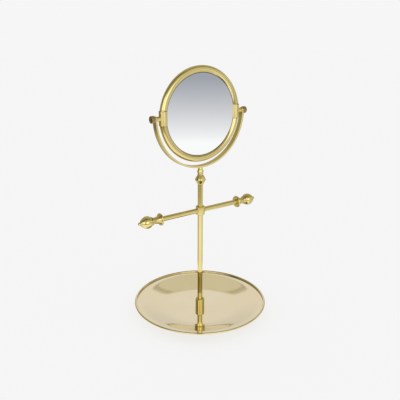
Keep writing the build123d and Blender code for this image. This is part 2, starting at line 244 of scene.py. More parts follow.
@dataclass
class Surface:
    """Grid surface: points in metres, four-cornered faces, their UV corners and a depth of painted shade."""

    points: np.ndarray
    faces: np.ndarray
    uv: np.ndarray
    tarnish_shade_depth: np.ndarray

    @classmethod
    def grid(cls, points: np.ndarray, wrap: bool = False, u: np.ndarray | None = None,
             v: np.ndarray | None = None, tarnish_shade_depth: np.ndarray | None = None) -> "Surface":
        """Surface over a grid of points, rows by columns.

        Args:
            points: Array of shape (rows, columns, 3), in millimetres.
            wrap: Whether the last column joins the first.
            u: Column values for the UV map, one more than the columns where it wraps.
            v: Row values for the UV map.
            tarnish_shade_depth: Depth of painted shade in grooves and at joints, one value for each row.

        Returns:
            The surface, in metres.
        """
        rows, columns = points.shape[:2]
        across = columns if wrap else columns - 1
        u = np.linspace(0, 1, across + 1) if u is None else u
        v = np.linspace(0, 1, rows) if v is None else v
        i, j = np.meshgrid(np.arange(rows - 1), np.arange(across), indexing="ij")
        i, j = i.ravel(), j.ravel()
        k = (j + 1) % columns
        faces = np.c_[i * columns + j, i * columns + k, (i + 1) * columns + k, (i + 1) * columns + j]
        corner_u = np.c_[u[j], u[j + 1], u[j + 1], u[j]]
        corner_v = np.c_[v[i], v[i], v[i + 1], v[i + 1]]
        depth = np.zeros(rows) if tarnish_shade_depth is None else tarnish_shade_depth
        return cls(points.reshape(-1, 3) * MM, faces, np.stack([corner_u, corner_v], axis=-1),
                   np.repeat(depth, columns))

    @classmethod
    def turned(cls, profile: Profile, axis: Axis = Axis.UP, origin: Place = (0, 0, 0), sides: int = 128,
               swell: Callable[[np.ndarray, np.ndarray], np.ndarray] | None = None,
               seams: Sequence[float] = ()) -> "Surface":
        """Surface turned about an axis.

        A point of the profile at radius r and height h, turned by an angle a, lies at
        (r cos a, r sin a, h) in the piece's own frame, which axis and origin then place. U runs once
        round the piece and V is the length along the profile in metres.

        Args:
            profile: Open outline of (radius, height) rows.
            axis: Direction of the height.
            origin: Place of height 0 on the axis.
            sides: Number of steps round the axis.
            swell: Gives a change of the radius from arrays of angles and profile rows.
            seams: Heights at which the piece meets another, where painted shade darkens the joint.

        Returns:
            The turned surface.
        """
        profile = marked(profile, [seam + step * JOINT_SHADE_WIDTH for seam in seams for step in range(-2, 3)])
        angle = np.linspace(0, TAU, sides, endpoint=False)
        radius = np.repeat(profile[:, :1], sides, axis=1)
        if swell is not None:
            radius = radius + swell(angle[None, :], profile)
        local = np.stack([radius * np.cos(angle), radius * np.sin(angle),
                          np.repeat(profile[:, 1:], sides, axis=1)], axis=-1)
        placed = local @ np.array(axis.value, float).T + np.asarray(origin, float)
        length = run_length(profile) * MM
        # Painted shade: deeper in the outline's grooves and beside each joint.
        depth = np.max([hollow(profile)] + [joint_shade_depth(profile[:, 1] - seam) for seam in seams], axis=0)
        return cls.grid(placed, wrap=True, v=length, tarnish_shade_depth=depth)


def make_piece(name: str, surfaces: Sequence[Surface], finish: bpy.types.Material, node: str,
               body: str = "stand") -> None:
    """Join surfaces into one closed piece, dress it and let it stand for its CAD node.

    Args:
        name: Name of the piece.
        surfaces: Surfaces whose borders meet point on point.
        finish: Its material.
        node: CAD node that it stands for.
        body: The CAD body that it rides on.
    """
    counts = np.cumsum([0] + [len(s.points) for s in surfaces])
    points = np.vstack([s.points for s in surfaces])
    faces = np.vstack([s.faces + base for s, base in zip(surfaces, counts)])
    mesh = bpy.data.meshes.new(name)
    mesh.from_pydata(points.tolist(), [], faces.tolist())
    mesh.uv_layers.new(name="UVMap").data.foreach_set(
        "uv", np.vstack([s.uv for s in surfaces]).astype(np.float32).ravel())
    # Per-point depth of the painted shade, which the brass finishes read.
    mesh.attributes.new("tarnish_shade_depth", "FLOAT", "POINT").data.foreach_set(
        "value", np.concatenate([s.tarnish_shade_depth for s in surfaces]).astype(np.float32))
    work = bmesh.new()
    work.from_mesh(mesh)
    bmesh.ops.remove_doubles(work, verts=work.verts, dist=2e-6)
    bmesh.ops.dissolve_degenerate(work, edges=work.edges, dist=1e-7)
    bmesh.ops.recalc_face_normals(work, faces=work.faces)
    work.to_mesh(mesh)
    work.free()
    mesh.shade_smooth()
    mesh.set_sharp_from_angle(angle=SHARP_TURN)
    mesh.materials.append(finish)
    piece = bpy.data.objects.new(name, mesh)
    bpy.context.scene.collection.objects.link(piece)
    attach(piece, body)
    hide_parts(node)
    log.info("%s: %d faces, stands for %s", name, len(mesh.polygons), node)


def turn_piece(name: str, profile: Profile, finish: bpy.types.Material, node: str, body: str = "stand",
               slot: str = "polished_brass", **turning: Any) -> None:
    """Make a piece from one turned outline.

    Args:
        name: Name of the piece.
        profile: Its outline.
        finish: Its material.
        node: CAD node that it stands for.
        body: The CAD body that it rides on.
        slot: Not used.
        turning: The turned surface's axis, origin, sides, swell and seams.
    """
    make_piece(name, [Surface.turned(profile, **turning)], finish, node, body)


# ---------- Shader maths ----------


class Wire:
    """A node's output with arithmetic, so that shader maths reads as an expression."""

    def __init__(self, sheet: "NodeSheet", socket: bpy.types.NodeSocket) -> None:
        """Keep the sheet that the socket belongs to, and the socket."""
        self.sheet = sheet
        self.socket = socket

    def _math(self, operation: str, *values: Any) -> "Wire":
        """Result of one Math node on values, which are wires or numbers."""
        return self.sheet.add("ShaderNodeMath", {"operation": operation}, dict(enumerate(values)))

    def __add__(self, other: Any) -> "Wire":
        """Sum."""
        return self._math("ADD", self, other)

    __radd__ = __add__

    def __sub__(self, other: Any) -> "Wire":
        """Difference."""
        return self._math("SUBTRACT", self, other)

    def __rsub__(self, other: Any) -> "Wire":
        """Difference with this wire on the right."""
        return self._math("SUBTRACT", other, self)

    def __mul__(self, other: Any) -> "Wire":
        """Product."""
        return self._math("MULTIPLY", self, other)

    __rmul__ = __mul__

    def __truediv__(self, other: Any) -> "Wire":
        """Quotient."""
        return self._math("DIVIDE", self, other)

    def __pow__(self, other: Any) -> "Wire":
        """Power."""
        return self._math("POWER", self, other)

    def root(self) -> "Wire":
        """Square root."""
        return self._math("SQRT", self)

    def turn(self) -> tuple["Wire", "Wire"]:
        """Cosine and sine of a whole number of turns."""
        angle = self * TAU
        return angle._math("COSINE", angle), angle._math("SINE", angle)

    def ramp(self, low: float, high: float, out_low: float = 0.0, out_high: float = 1.0) -> "Wire":
        """Smooth step from out_low below low to out_high above high.

        Args:
            low: Value at which the step starts.
            high: Value at which it ends.
            out_low: Result below low.
            out_high: Result above high.

        Returns:
            The step.
        """
        return self.sheet.add("ShaderNodeMapRange", {"interpolation_type": "SMOOTHSTEP"},
                              {"Value": self, "From Min": low, "From Max": high,
                               "To Min": out_low, "To Max": out_high})

    def between(self, low: float, high: float, soft: float) -> "Wire":
        """Window that is 1 between low and high and fades over soft outside them."""
        return self.ramp(low - soft, low) * self.ramp(high, high + soft, 1.0, 0.0)


class NodeSheet:
    """A node tree that is filled through one method."""

    def __init__(self, tree: bpy.types.NodeTree) -> None:
        """Start from an empty tree."""
        self.tree = tree
        tree.nodes.clear()

    def add(self, kind: str, settings: Mapping[str, Any] | None = None,
            inputs: Mapping[Any, Any] | None = None, out: Any = 0) -> Wire:
        """Add a node, set it up and wire its sockets.

        Args:
            kind: The node's type.
            settings: Its own settings, set first.
            inputs: Values or wires by socket name or number.
            out: Name or number of the output that is returned.

        Returns:
            The wire of that output.
        """
        node = self.tree.nodes.new(kind)
        for key, value in (settings or {}).items():
            setattr(node, key, value)
        for key, value in (inputs or {}).items():
            if isinstance(value, Wire):
                self.tree.links.new(value.socket, node.inputs[key])
            else:
                node.inputs[key].default_value = value
        return Wire(self, node.outputs[out] if len(node.outputs) else None)

    def mix(self, share: Any, first: Any, second: Any) -> Wire:
        """Colour that goes from first to second with share.

        Args:
            share: Value from 0 to 1.
            first: Colour at 0.
            second: Colour at 1.

        Returns:
            The mixed colour.
        """
        colours = [(*c, 1.0) if isinstance(c, tuple) else c for c in (first, second)]
        return self.add("ShaderNodeMix", {"data_type": "RGBA"},
                        {0: share, 6: colours[0], 7: colours[1]}, out=2)

    def vector(self, x: Any, y: Any, z: Any = 0.0) -> Wire:
        """Vector of three wires or numbers."""
        return self.add("ShaderNodeCombineXYZ", {}, {0: x, 1: y, 2: z})

    def noise(self, place: Wire, scale: float, detail: float = 3.0, rough: float = 0.5) -> Wire:
        """Noise value of about 0 to 1 at a place."""
        return self.add("ShaderNodeTexNoise", {}, {"Vector": place, "Scale": scale, "Detail": detail,
                                                   "Roughness": rough})

    def object_place(self) -> Wire:
        """Place on the piece, in metres of the shared frame."""
        return self.add("ShaderNodeTexCoord", {}, {}, out="Object")

    def stretched(self, place: Wire, scale: Place, rotation: Place = (0.0, 0.0, 0.0)) -> Wire:
        """A place turned and stretched, for a texture with a direction."""
        return self.add("ShaderNodeMapping", {}, {"Vector": place, "Scale": scale, "Rotation": rotation})

    def ray(self, kind: str) -> Wire:
        """Share that is 1 for rays of a kind, such as Is Glossy Ray."""
        return self.add("ShaderNodeLightPath", {}, {}, out=kind)

    def mix_shaders(self, share: Any, first: Wire, second: Wire) -> Wire:
        """Shader that goes from first to second with share."""
        return self.add("ShaderNodeMixShader", {}, {0: share, 1: first, 2: second})

    def bump(self, height: Wire, strength: float, distance: float) -> Wire:
        """Normal of a surface raised by a height, up to a distance in metres."""
        return self.add("ShaderNodeBump", {}, {"Strength": strength, "Distance": distance, "Height": height})

    def vectors(self, operation: str, first: Any, second: Any, out: int = 0) -> Wire:
        """Result of one Vector Math node on two vectors or colours."""
        return self.add("ShaderNodeVectorMath", {"operation": operation}, {0: first, 1: second}, out)

    def dot(self, first: Wire, second: Place) -> Wire:
        """Dot product of a vector with a fixed one."""
        return self.vectors("DOT_PRODUCT", first, second, out=1)

    def lit(self, shade: Wire, first: Any) -> Wire:
        """A colour times a brightness, which may be over 1."""
        return self.add("ShaderNodeVectorMath", {"operation": "SCALE"}, {0: first, "Scale": shade})


@dataclass(frozen=True)
class Finish:
    """A surface's look: a name, and the shader sockets that a subclass works out."""

    name: str

    def sockets(self, sheet: NodeSheet, spot: Wire) -> dict[str, Any]:
        """Values or wires of the surface shader by socket name, spot being the Object coordinates."""
        raise NotImplementedError

    def material(self) -> bpy.types.Material:
        """Build the material: one surface shader with its sockets, wired to the output.

        Returns:
            The finished material.
        """
        material = bpy.data.materials.new(self.name)
        material.use_nodes = True
        sheet = NodeSheet(material.node_tree)
        surface = sheet.add("ShaderNodeBsdfPrincipled", {}, self.sockets(sheet, sheet.object_place()))
        sheet.add("ShaderNodeOutputMaterial", {}, {"Surface": surface})
        return material


class Grain(Enum):
    """How a metal surface was worked: factors round the piece, along it, and the depth of the lines."""

    TURNED = (0.35, 2600.0, 0.45)
    SPUN = (0.5, 900.0, 0.35)
    DRAWN = (26.0, 9.0, 0.4)
    ROLLED = (0.0, 0.0, 0.3)


@dataclass(frozen=True)
class BrassFinish(Finish):
    """Polished, lacquered brass: worked lines, faint smears, mottled painted shade in grooves and at joints.
    """

    grain: Grain
    tint: Colour = (0.87, 0.74, 0.34)
    deep: Colour = (0.82, 0.67, 0.27)
    # Dark brown of the painted shade in grooves and at joints.
    tarnish_shade_tint: Colour = (0.34, 0.22, 0.07)
    roughness: float = 0.06
    tarnish_shade_share: float = 0.55

    def sockets(self, sheet: NodeSheet, spot: Wire) -> dict[str, Any]:
        """Lines, smears, specks, and mottled painted shade in grooves and at joints.

        Worked lines are noise over (cos u, sin u, v), stretched along the working direction, so they
        have no seam where the piece closes. Smears are noise over Object coordinates.

        Args:
            sheet: The material's sheet.
            spot: Object coordinates.

        Returns:
            Values or wires by socket name.
        """
        around, along, depth = self.grain.value
        uv = sheet.add("ShaderNodeUVMap", {"uv_map": "UVMap"})
        split = sheet.add("ShaderNodeSeparateXYZ", {}, {0: uv})
        u, v = split, Wire(sheet, split.socket.node.outputs[1])
        if self.grain is Grain.ROLLED:
            place = sheet.vector(u * 14.0, v * 2400.0)
        else:
            cosine, sine = u.turn()
            place = sheet.vector(cosine * around, sine * around, v * along)
        lines = sheet.noise(place, 1.0, 4.0, 0.6)
        smear = sheet.noise(spot, 23.0, 4.0, 0.55).ramp(0.35, 0.75)
        cloud = sheet.noise(spot, 7.0, 2.0, 0.5).ramp(0.3, 0.7)
        speck = sheet.noise(spot, 260.0, 2.0, 0.5)
        # Painted shade: the per-point depth from grooves and joints darkens the brass towards a dark brown
        # and roughens it, broken up by specks.
        tarnish_shade_depth = sheet.add("ShaderNodeAttribute", {"attribute_name": "tarnish_shade_depth"}, {}, out="Fac")
        tarnish_and_shade = tarnish_shade_depth * speck.ramp(0.25, 0.7, 0.45, 1.0) * self.tarnish_shade_share
        colour = sheet.mix(cloud * 0.5 + smear * 0.25, self.tint, self.deep)
        colour = sheet.mix(tarnish_and_shade, colour, self.tarnish_shade_tint)
        rough = smear * 0.035 + lines * 0.03 + tarnish_and_shade * 0.22 + (self.roughness - 0.03)
        height = lines * depth + speck * 0.15
        return {"Base Color": colour, "Metallic": 1.0, "Roughness": rough,
                "Normal": sheet.bump(height, 0.05, 0.00005), "Coat Weight": 0.12, "Coat Roughness": 0.06}


@dataclass(frozen=True)
class MirrorFinish(Finish):
    """Silvered float glass with faint wiping marks and a painted dark reflection round its rim."""

    tint: Colour = (0.95, 0.955, 0.96)
    roughness: float = 0.012
    centre: Place = (0.0, 0.0, PIVOT_Z * MM)
    edge: float = 0.1016
    painted_lip_reflection: Colour = (0.10, 0.09, 0.06)

    def sockets(self, sheet: NodeSheet, spot: Wire) -> dict[str, Any]:
        """A bright metal under a clear coat, a touch rougher where it was wiped.

        Round the rim the glass is darkened by a painted reflection of the ring's lip: the distance from the
        middle is the length of the place's offset from the centre in the plane of X and Z.

        Args:
            sheet: The material's sheet.
            spot: Object coordinates.

        Returns:
            Values or wires by socket name.
        """
        wipe = sheet.noise(sheet.stretched(spot, (9.0, 9.0, 26.0), (0.0, 0.6, 0.0)), 1.0, 5.0, 0.6)
        wipe = wipe.ramp(0.45, 0.8)
        dust = sheet.noise(spot, 900.0, 1.0, 0.5).ramp(0.72, 0.8)
        colour = sheet.mix(wipe * 0.5 + dust * 0.4, self.tint, tuple(c * 0.965 for c in self.tint))
        flat = sheet.vectors("MULTIPLY", sheet.vectors("SUBTRACT", spot, self.centre), (1.0, 0.0, 1.0))
        radius = sheet.add("ShaderNodeVectorMath", {"operation": "LENGTH"}, {0: flat}, out=1)
        # Painted reflection: a thin dark band just inside the visible rim stands for the ring's lip mirrored
        # in the glass.
        colour = sheet.mix(radius.ramp(self.edge - 0.0017, self.edge - 0.0006), colour, self.painted_lip_reflection)
        return {"Base Color": colour, "Metallic": 1.0,
                "Roughness": wipe * 0.012 + dust * 0.05 + self.roughness,
                "Coat Weight": 0.2, "Coat Roughness": 0.01}


@dataclass(frozen=True)
class FeltFinish(Finish):
    """Pressed felt."""

    tint: Colour = (0.035, 0.060, 0.042)
    light: Colour = (0.085, 0.125, 0.090)

    def sockets(self, sheet: NodeSheet, spot: Wire) -> dict[str, Any]:
        """Matted fibres as two stretched noises that tint and raise the surface.

        Args:
            sheet: The material's sheet.
            spot: Object coordinates.

        Returns:
            Values or wires by socket name.
        """
        long_way = sheet.stretched(spot, (300.0, 1500.0, 900.0), (0.3, 0.1, 0.5))
        short_way = sheet.stretched(spot, (1500.0, 300.0, 900.0), (0.1, 0.4, 1.1))
        fibre = sheet.noise(long_way, 1.0, 4.0, 0.65) * 0.5 + sheet.noise(short_way, 1.0, 4.0, 0.65) * 0.5
        patch = sheet.noise(spot, 30.0, 3.0, 0.5)
        colour = sheet.mix(fibre.ramp(0.35, 0.7) * 0.7 + patch * 0.3, self.tint, self.light)
        return {"Base Color": colour, "Roughness": fibre * 0.1 + 0.88,
                "Normal": sheet.bump(fibre, 0.6, 0.0006), "Sheen Weight": 0.4}


@dataclass(frozen=True)
class SteelFinish(Finish):
    """Zinc plated steel of the hidden rods, washer and nut."""

    tint: Colour = (0.62, 0.62, 0.60)
    blue: Colour = (0.52, 0.56, 0.60)

    def sockets(self, sheet: NodeSheet, spot: Wire) -> dict[str, Any]:
        """Cloudy plating with fine scratches.

        Args:
            sheet: The material's sheet.
            spot: Object coordinates.

        Returns:
            Values or wires by socket name.
        """
        cloud = sheet.noise(spot, 120.0, 3.0, 0.55)
        lines = sheet.noise(sheet.stretched(spot, (200.0, 3000.0, 200.0)), 1.0, 3.0, 0.6)
        colour = sheet.mix(cloud.ramp(0.3, 0.7), self.tint, self.blue)
        return {"Base Color": colour, "Metallic": 1.0, "Roughness": cloud * 0.15 + lines * 0.08 + 0.22,
                "Normal": sheet.bump(lines, 0.15, 0.0001)}


@dataclass(frozen=True)
class PlasticFinish(Finish):
    """Moulded nylon of the washer and the glass spacer."""

    tint: Colour = (0.74, 0.73, 0.68)

    def sockets(self, sheet: NodeSheet, spot: Wire) -> dict[str, Any]:
        """A matt moulding with a fine orange-peel skin.

        Args:
            sheet: The material's sheet.
            spot: Object coordinates.

        Returns:
            Values or wires by socket name.
        """
        skin = sheet.noise(spot, 700.0, 3.0, 0.5)
        cloud = sheet.noise(spot, 40.0, 2.0, 0.5)
        colour = sheet.mix(cloud, self.tint, tuple(c * 0.93 for c in self.tint))
        return {"Base Color": colour, "Roughness": skin * 0.12 + 0.42,
                "Normal": sheet.bump(skin, 0.2, 0.0001)}


class Finishes:
    """All materials of the stand, each built once."""

    def __init__(self) -> None:
        """Build every material."""
        self.spun = BrassFinish("spun_brass", Grain.SPUN, tint=(0.79, 0.705, 0.44), deep=(0.76, 0.66, 0.40),
                                roughness=0.055, tarnish_shade_share=0.3).material()
        self.turned = BrassFinish("turned_brass", Grain.TURNED).material()
        self.drawn = BrassFinish("drawn_brass", Grain.DRAWN, roughness=0.075).material()
        self.rolled = BrassFinish("rolled_brass", Grain.ROLLED, roughness=0.14).material()
        self.knurled = BrassFinish("knurled_brass", Grain.TURNED, tint=(0.50, 0.40, 0.20),
                                   deep=(0.42, 0.32, 0.13), roughness=0.20, tarnish_shade_share=0.8).material()
        self.mirror = MirrorFinish("silvered_glass").material()
        self.magnifier = MirrorFinish("silvered_magnifier", tint=(0.90, 0.93, 0.98)).material()
        self.felt = FeltFinish("pressed_felt").material()
        self.steel = SteelFinish("plated_steel").material()
        self.plastic = PlasticFinish("moulded_nylon").material()


# ---------- Sub-assemblies ----------


@dataclass
class Tray:
    """Spun dish with a rolled bead, on a felt pad."""

    pad_radius: float = 78.0
    pad_hole: float = 13.0
    pad_thickness: float = 3.5
    outer_radius: float = 177.5
    sheet: float = 1.2
    rise: float = 19.425
    bead_radius: float = 3.0
    hole_radius: float = 3.1
    slope_at: tuple[float, ...] = (82, 95, 103, 113, 125, 135, 146, 151, 155, 158, 160.5, 163, 166, 170,
                                   174.5)
    slope: tuple[float, ...] = (0, 7.6, 10.7, 13.5, 15.4, 16.2, 16.9, 16.5, 14.3, 11.4, 9.2, 7.4, 5.6, 2.6, 0)

    def upper_face(self) -> Profile:
        """Upper face from the flat floor's edge to the top of the lip.

        The slope in degrees is read from its table at each radius, the heights are the running sum of
        its tangent, and all heights are scaled so that the last one is the rise.

        Returns:
            The face's outline, outwards.
        """
        floor = self.pad_thickness + self.sheet
        radius = np.linspace(self.slope_at[0], self.slope_at[-1], 101)
        tangent = np.tan(np.radians(np.interp(radius, self.slope_at, self.slope)))
        height = np.r_[0, np.cumsum((tangent[1:] + tangent[:-1]) / 2 * np.diff(radius))]
        return np.c_[radius, floor + height * self.rise / height[-1]]

    def dish_profile(self) -> Profile:
        """Outline of the dish: floor, flange, bead, and back along the underside.

        The bead's lowest point lies on the sheet's lower face, and the upper face ends where it goes
        into the bead. The underside lies one sheet thickness under the upper face, along its normal.

        Returns:
            The closed outline.
        """
        floor = self.pad_thickness + self.sheet
        upper = self.upper_face()
        bead_r = self.outer_radius - self.bead_radius
        bead_z = upper[-1, 1] - self.sheet + self.bead_radius
        away = np.hypot(upper[:, 0] - bead_r, upper[:, 1] - bead_z)
        shown = upper[away > self.bead_radius]
        start = math.degrees(math.atan2(shown[-1, 1] - bead_z, shown[-1, 0] - bead_r)) % 360
        bead = arc((bead_r, bead_z), self.bead_radius, start, -90, 48)
        along = np.gradient(upper, axis=0)
        along = along / np.linalg.norm(along, axis=1, keepdims=True)
        under = (upper + np.c_[along[:, 1], -along[:, 0]] * self.sheet)[::-2]
        hole = [(self.hole_radius, self.pad_thickness), (self.hole_radius, floor)]
        return np.vstack([hole[1:], shown, bead[1:], under[1:], hole])

    def build(self, finishes: Finishes) -> None:
        """Make the dish and the pad.

        Args:
            finishes: The stand's materials.
        """
        dish = spaced(self.dish_profile(), 2.0)
        turn_piece("tray_dish", dish, finishes.spun, "tray", sides=264)
        low, high = 0.0, self.pad_thickness
        pad = closed_turning([(self.pad_hole, low), (self.pad_radius, low), (self.pad_radius, high),
                              (self.pad_hole, high), (self.pad_hole, low)], 0.5, 1.5)
        turn_piece("felt_pad", pad, finishes.felt, "foot_pad", slot="felt", sides=192)


@dataclass
class Post:
    """Collar, two tubes and the cross hub on the vertical axis."""

    floor_z: float = 4.7
    collar_radius: float = 12.0
    collar_top: float = 28.7
    collar_sink: float = 0.4
    collar_edge: float = 1.4
    tube_radius: float = 6.7
    hub_radius: float = 11.5
    hub_bottom: float = 273.3
    hub_top: float = 295.7
    hub_edge: float = 0.8
    socket: float = 4.6
    collar_socket: float = 18.0
    rod_radius: float = 3.1

    def tube_profile(self, low: float, high: float) -> Profile:
        """Outline of a round tube, wall included, closed on itself.

        Args:
            low: Height of its lower end.
            high: Height of its upper end.

        Returns:
            The tube's outline.
        """
        outer, inner = self.tube_radius, self.tube_radius - TUBE_WALL
        return closed_turning([(inner, low), (outer, low), (outer, high), (inner, high), (inner, low)],
                              0.15, 4.0)

    def build(self, finishes: Finishes) -> None:
        """Make the collar, both tubes and the hub.

        Args:
            finishes: The stand's materials.
        """
        inner, bore, wide = self.tube_radius, self.rod_radius, self.collar_radius
        low, high = self.floor_z - self.collar_sink, self.collar_top
        step = high - self.collar_socket
        collar = closed_turning([
            (bore, low), (wide, low), (wide, high - self.collar_edge), (wide - self.collar_edge, high),
            (inner, high), (inner, step), (bore, step), (bore, low)], 0.35)
        turn_piece("collar", collar, finishes.turned, "base_collar")
        # Painted shade darkens each tube beside its joints with the collar, the hub and the baluster.
        turn_piece("post_lower", self.tube_profile(step, self.hub_bottom + self.socket), finishes.drawn,
                   "lower_post_tube", seams=(self.collar_top, self.hub_bottom))
        turn_piece("post_upper", self.tube_profile(self.hub_top - self.socket, POST_TOP), finishes.drawn,
                   "upper_post_tube", seams=(self.hub_top, POST_TOP))
        low, high, wide, edge = self.hub_bottom, self.hub_top, self.hub_radius, self.hub_edge
        hub = closed_turning([
            (0, low + self.socket), (inner, low + self.socket), (inner, low), (wide - edge, low),
            (wide, low + edge), (wide, high - edge), (wide - edge, high), (inner, high),
            (inner, high - self.socket), (0, high - self.socket)], 0.3)
        turn_piece("hub", hub, finishes.turned, "cross_hub")


@dataclass
class Crossbar:
    """Both arms of the jewellery bar with their turned finials."""

    z: float = 284.5
    tube_radius: float = 6.4
    start: float = 7.4
    hub_flank: float = 11.0
    end: float = 119.5
    flange_radius: float = 15.6
    flange_bead: float = 2.3
    neck_radius: float = 8.2
    neck_length: float = 20.5
    ring_radius: float = 10.9
    ring_bead: float = 1.5
    groove_radius: float = 8.6
    bulb_radius: float = 15.5
    shoulder_radius: float = 12.6
    taper_radius: float = 7.2
    bulb_length: float = 32.4
    tip_radius: float = 4.1
    plug: float = 1.0

    def finial_profile(self) -> Profile:
        """Outline of a finial from its plug in the tube to its ball tip, height 0 being the tube's end.

        Returns:
            The finial's outline.
        """
        flange_h = 2 * self.flange_bead
        ring_h = flange_h + self.neck_length
        bulb_h = ring_h + 2 * self.ring_bead
        tip_h = bulb_h + self.bulb_length
        edge = self.flange_radius - self.flange_bead
        cove = (self.flange_radius + self.neck_radius) / 2
        flare = self.ring_radius - self.ring_bead
        rise = self.groove_radius + (self.bulb_radius - self.groove_radius) * 0.72
        fall = self.shoulder_radius + (self.bulb_radius - self.shoulder_radius) * 0.76
        back = paired(self.tube_radius - TUBE_WALL, (-self.plug, 0.0))
        flange = arc((edge, self.flange_bead), self.flange_bead, -90, 90, 18)
        neck = clamped_curve([(cove, flange_h), (self.neck_radius, flange_h + self.neck_length * 0.58),
                              (flare, ring_h)], (-0.5, 1), (0.7, 1), 20)
        ring = arc((flare, ring_h + self.ring_bead), self.ring_bead, -90, 90, 14)
        radius = (self.groove_radius, rise, self.bulb_radius, fall, self.shoulder_radius, self.taper_radius,
                  self.tip_radius)
        share = np.array((0, 0.14, 0.367, 0.52, 0.667, 0.873, 1))
        bulb = clamped_curve(paired(radius, bulb_h + self.bulb_length * share), (1, 0.45), (0, 1), 10)
        tip = arc((0, tip_h), self.tip_radius, 0, 90, 12)
        return np.vstack([back, flange, neck, ring, bulb, tip[1:]])

    def build(self, finishes: Finishes) -> None:
        """Make both tubes and both finials.

        Args:
            finishes: The stand's materials.
        """
        outer, inner = self.tube_radius, self.tube_radius - TUBE_WALL
        tube = closed_turning([(inner, self.start), (outer, self.start), (outer, self.end), (inner, self.end),
                               (inner, self.start)], 0.15, 4.0)
        finial = np.vstack([(0.0, -self.plug), spaced(softened(self.finial_profile(), 0.25), 0.9)])
        for side, axis, sign in SIDES:
            # Painted shade darkens each arm beside the hub and beside its finial.
            turn_piece(f"{side}_arm", tube, finishes.drawn, f"{side}_crossbar_tube", axis=axis,
                       origin=(0, 0, self.z), seams=(self.hub_flank, self.end))
            turn_piece(f"{side}_finial_turned", finial, finishes.turned, f"{side}_finial", axis=axis,
                       origin=(sign * self.end, 0, self.z), sides=160)


@dataclass
class Baluster:
    """Turned baluster under the yoke."""

    foot_radius: float = 7.2
    plug_radius: float = 5.7
    plug: float = 0.5
    cone: float = 12.0
    lip_radius: float = 14.0
    lip_round: float = 0.7
    bell: float = 11.3
    shoulder_radius: float = 8.1
    groove_radius: float = 6.7
    ring_radius: float = 7.2
    ring: float = 6.4
    bead_radius: float = 8.0
    neck: float = 14.7
    neck_radius: float = 4.8

    def profile(self) -> Profile:
        """Outline from the foot up: cone, lip, bell, groove, ring, pear-shaped bead and neck.

        Returns:
            The baluster's outline.
        """
        bell_h = self.cone + self.bell
        ring_h = bell_h + self.ring
        top_h = ring_h + self.neck
        edge = self.lip_radius - self.lip_round * 0.6
        cone = clamped_curve([(self.foot_radius, 0), (edge, self.cone - self.lip_round)],
                             (0.35, 1), (0.62, 1), 24)
        lip = clamped_curve([(edge, self.cone - self.lip_round), (self.lip_radius, self.cone),
                             (edge, self.cone + self.lip_round)], (0.9, 1), (-0.9, 1), 6)
        bell = clamped_curve([(edge, self.cone + self.lip_round), (self.shoulder_radius, bell_h)],
                             (-0.4, 1), (-0.65, 1), 24)
        ring = clamped_curve([(self.groove_radius, bell_h), (self.ring_radius, bell_h + self.ring / 2),
                              (self.groove_radius, ring_h)], (0.5, 1), (-0.5, 1), 10)
        bead = clamped_curve([(self.groove_radius, ring_h), (self.bead_radius, ring_h + self.neck * 0.34),
                              (self.neck_radius, top_h)], (1, 0.6), (-0.1, 1), 18)
        foot = [(0.0, -self.plug), (self.plug_radius, -self.plug), (self.plug_radius, 0.0)]
        return np.vstack([foot, cone, lip[1:], bell[1:], ring, bead[1:], [(0.0, top_h)]])

    def build(self, finishes: Finishes) -> None:
        """Make the baluster.

        Args:
            finishes: The stand's materials.
        """
        outline = spaced(softened(self.profile(), 0.2), 0.8)
        turn_piece("baluster_turned", outline, finishes.turned, "baluster", origin=(0, 0, POST_TOP),
                   sides=160)


